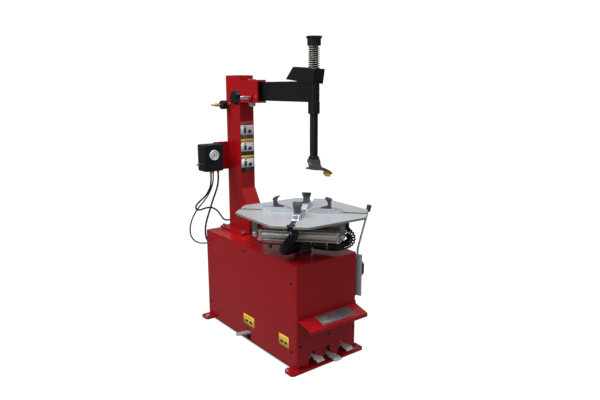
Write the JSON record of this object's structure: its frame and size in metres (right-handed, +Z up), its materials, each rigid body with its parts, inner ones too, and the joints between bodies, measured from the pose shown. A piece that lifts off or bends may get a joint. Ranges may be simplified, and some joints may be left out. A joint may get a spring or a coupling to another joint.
{
  "type": "tire changer machine",
  "caption": "Workshop machine that clamps a wheel on a turntable under a swing arm with a tool head, with pedals and a side bead breaker.",
  "frame": {"origin": "on the floor at the centre of the four floor anchors, under the middle of the cabinet", "axes": "+Z up, -Y towards the pedals and the turntable (front), +X towards the bead breaker"},
  "size_m": [0.7507, 1.2, 1.816],
  "materials": {
    "red_paint": "gloss",
    "black_paint": "satin",
    "table_grey": "gloss",
    "blade_grey": "satin",
    "zinc": "satin",
    "steel": "satin",
    "bar_chrome": "polished",
    "jaw_steel": "satin",
    "cylinder_alloy": "satin",
    "dark_iron": "matt",
    "brass": "satin",
    "insert_plastic": "matt",
    "knob_plastic": "matt",
    "box_plastic": "satin",
    "dial_white": "satin",
    "needle_black": "satin",
    "hose": "satin",
    "rubber": "matt",
    "spring_steel": "polished",
    "motor_alloy": "satin"
  },
  "bodies": {
    "cabinet": {"base_frame": "red_paint", "cabinet_body": "red_paint", "left_side_panel": "red_paint", "front_cover": "red_paint", "panel_screws": "black_paint", "pedal_hood": "red_paint", "column": "red_paint", "frame_bolts": "zinc", "arm_bracket": "red_paint", "gauge_bracket": "red_paint", "gauge_box": "box_plastic", "gauge_dial": "dial_white", "brass_fittings": "brass", "air_hose_front": "hose", "air_hose_middle": "hose", "air_hose_rear": "hose", "pedal_axle": "steel", "gearbox": "dark_iron", "motor": "motor_alloy", "drive_belt": "rubber", "bead_pads": "rubber", "bead_hinge": "black_paint", "bead_cylinder": "cylinder_alloy"},
    "turntable": {"table_plate": "table_grey", "spindle": "steel", "rotary_coupling": "dark_iron", "air_coil_right": "hose", "air_coil_front": "hose"},
    "slide_right": {"slide_right": "zinc", "jaw_right": "jaw_steel", "clamp_cylinder_front": "cylinder_alloy"},
    "slide_left": {"slide_left": "zinc", "jaw_left": "jaw_steel", "clamp_cylinder_rear": "cylinder_alloy"},
    "slide_front": {"slide_front": "zinc", "jaw_front": "jaw_steel"},
    "slide_back": {"slide_back": "zinc", "jaw_back": "jaw_steel"},
    "swing_arm": {"arm_beam": "black_paint", "pivot_pin": "zinc"},
    "lock_lever": {"lock_plate": "black_paint"},
    "mount_bar": {"hex_bar": "bar_chrome", "bar_cap": "black_paint", "mount_head": "steel", "head_insert": "insert_plastic", "bar_spring": "spring_steel"},
    "arm_stop": {"stop_screw": "zinc", "star_knob": "knob_plastic"},
    "air_valve": {"valve_knob": "knob_plastic"},
    "needle": {"gauge_needle": "needle_black"},
    "turn_pedal": {"pedal_turn": "steel"},
    "breaker_pedal": {"pedal_breaker": "steel"},
    "clamp_pedal": {"pedal_clamp": "steel"},
    "inflate_pedal": {"pedal_inflate": "steel"},
    "worm_shaft": {"gearbox_pulley": "dark_iron"},
    "motor_shaft": {"motor_pulley": "dark_iron"},
    "breaker_arm": {"bead_arm": "black_paint"},
    "breaker_blade": {"bead_blade": "blade_grey", "bead_handle": "bar_chrome"},
    "breaker_rod": {"bead_rod": "bar_chrome"}
  },
  "joints": [
    {"name": "turntable_spin", "type": "hinge", "parent": "cabinet", "child": "turntable", "pos_m": [0, -0.2675, 0.7], "axis": [0, 0, 1], "continuous": true},
    {"name": "jaw_slide_right", "type": "slide", "parent": "turntable", "child": "slide_right", "axis": [0.6717, -0.7408, 0], "range_m": [0, 0.075]},
    {"name": "jaw_slide_back", "type": "slide", "parent": "turntable", "child": "slide_back", "axis": [0.7408, 0.6717, 0], "range_m": [0, 0.075]},
    {"name": "jaw_slide_left", "type": "slide", "parent": "turntable", "child": "slide_left", "axis": [-0.6717, 0.7408, 0], "range_m": [0, 0.075]},
    {"name": "jaw_slide_front", "type": "slide", "parent": "turntable", "child": "slide_front", "axis": [-0.7408, -0.6717, 0], "range_m": [0, 0.075]},
    {"name": "arm_swing", "type": "hinge", "parent": "cabinet", "child": "swing_arm", "pos_m": [0, 0.242, 1.5275], "axis": [0, 0, 1], "range_deg": [0, 80]},
    {"name": "lock_tilt", "type": "hinge", "parent": "swing_arm", "child": "lock_lever", "pos_m": [0, -0.296, 1.602], "axis": [1, 0, 0], "range_deg": [0, 4.7]},
    {"name": "bar_height", "type": "slide", "parent": "swing_arm", "child": "mount_bar", "axis": [0, 0, 1], "range_m": [-0.085, 0], "deforming": ["bar_spring"]},
    {"name": "stop_turn", "type": "hinge", "parent": "cabinet", "child": "arm_stop", "pos_m": [-0.17, 0.155, 1.49], "axis": [1, 0, 0], "continuous": true},
    {"name": "air_valve_turn", "type": "hinge", "parent": "cabinet", "child": "air_valve", "pos_m": [-0.08, 0.43, 1.441], "axis": [-1, 0, 0], "range_deg": [0, 90]},
    {"name": "needle_turn", "type": "hinge", "parent": "cabinet", "child": "needle", "pos_m": [-0.221, 0.351, 1.132], "axis": [0, 1, 0], "range_deg": [0, 270], "stiffness_Nm_per_rad": 0.002},
    {"name": "turn_pedal_press", "type": "hinge", "parent": "cabinet", "child": "turn_pedal", "pos_m": [-0.105, -0.33, 0.066], "axis": [1, 0, 0], "range_deg": [-4, 6], "stiffness_Nm_per_rad": 30},
    {"name": "breaker_pedal_press", "type": "hinge", "parent": "cabinet", "child": "breaker_pedal", "pos_m": [0.004, -0.33, 0.066], "axis": [1, 0, 0], "range_deg": [0, 5], "stiffness_Nm_per_rad": 30, "springref_deg": -5.73},
    {"name": "clamp_pedal_press", "type": "hinge", "parent": "cabinet", "child": "clamp_pedal", "pos_m": [0.114, -0.33, 0.066], "axis": [1, 0, 0], "range_deg": [0, 6], "stiffness_Nm_per_rad": 30, "springref_deg": -5.73},
    {"name": "inflate_pedal_press", "type": "hinge", "parent": "cabinet", "child": "inflate_pedal", "pos_m": [-0.12, 0, 0.06], "axis": [0, -1, 0], "range_deg": [0, 8], "stiffness_Nm_per_rad": 10, "springref_deg": -11.46},
    {"name": "worm_turn", "type": "hinge", "parent": "cabinet", "child": "worm_shaft", "pos_m": [0, -0.15745, 0.469], "axis": [1, 0, 0], "continuous": true},
    {"name": "motor_turn", "type": "hinge", "parent": "cabinet", "child": "motor_shaft", "pos_m": [0.1, -0.15745, 0.205], "axis": [1, 0, 0], "continuous": true},
    {"name": "breaker_swing", "type": "hinge", "parent": "cabinet", "child": "breaker_arm", "pos_m": [0.276, 0.33, 0.5], "axis": [0, 0, 1], "range_deg": [0, 30]},
    {"name": "blade_tilt", "type": "hinge", "parent": "breaker_arm", "child": "breaker_blade", "pos_m": [0.276, -0.45, 0.5], "axis": [0, 0, 1], "range_deg": [-6, 6]},
    {"name": "breaker_stroke", "type": "slide", "parent": "cabinet", "child": "breaker_rod", "axis": [1, 0, 0], "range_m": [0, 0.134]}
  ],
  "couplings": [
    {"joint": "jaw_slide_front", "follows": "jaw_slide_right", "ratio": 1},
    {"joint": "jaw_slide_back", "follows": "jaw_slide_right", "ratio": 1},
    {"joint": "jaw_slide_left", "follows": "jaw_slide_right", "ratio": 1},
    {"joint": "breaker_stroke", "follows": "breaker_swing", "m_per_rad": 0.2553},
    {"joint": "worm_turn", "follows": "turntable_spin", "ratio": 30},
    {"joint": "motor_turn", "follows": "turntable_spin", "ratio": 65}
  ]
}
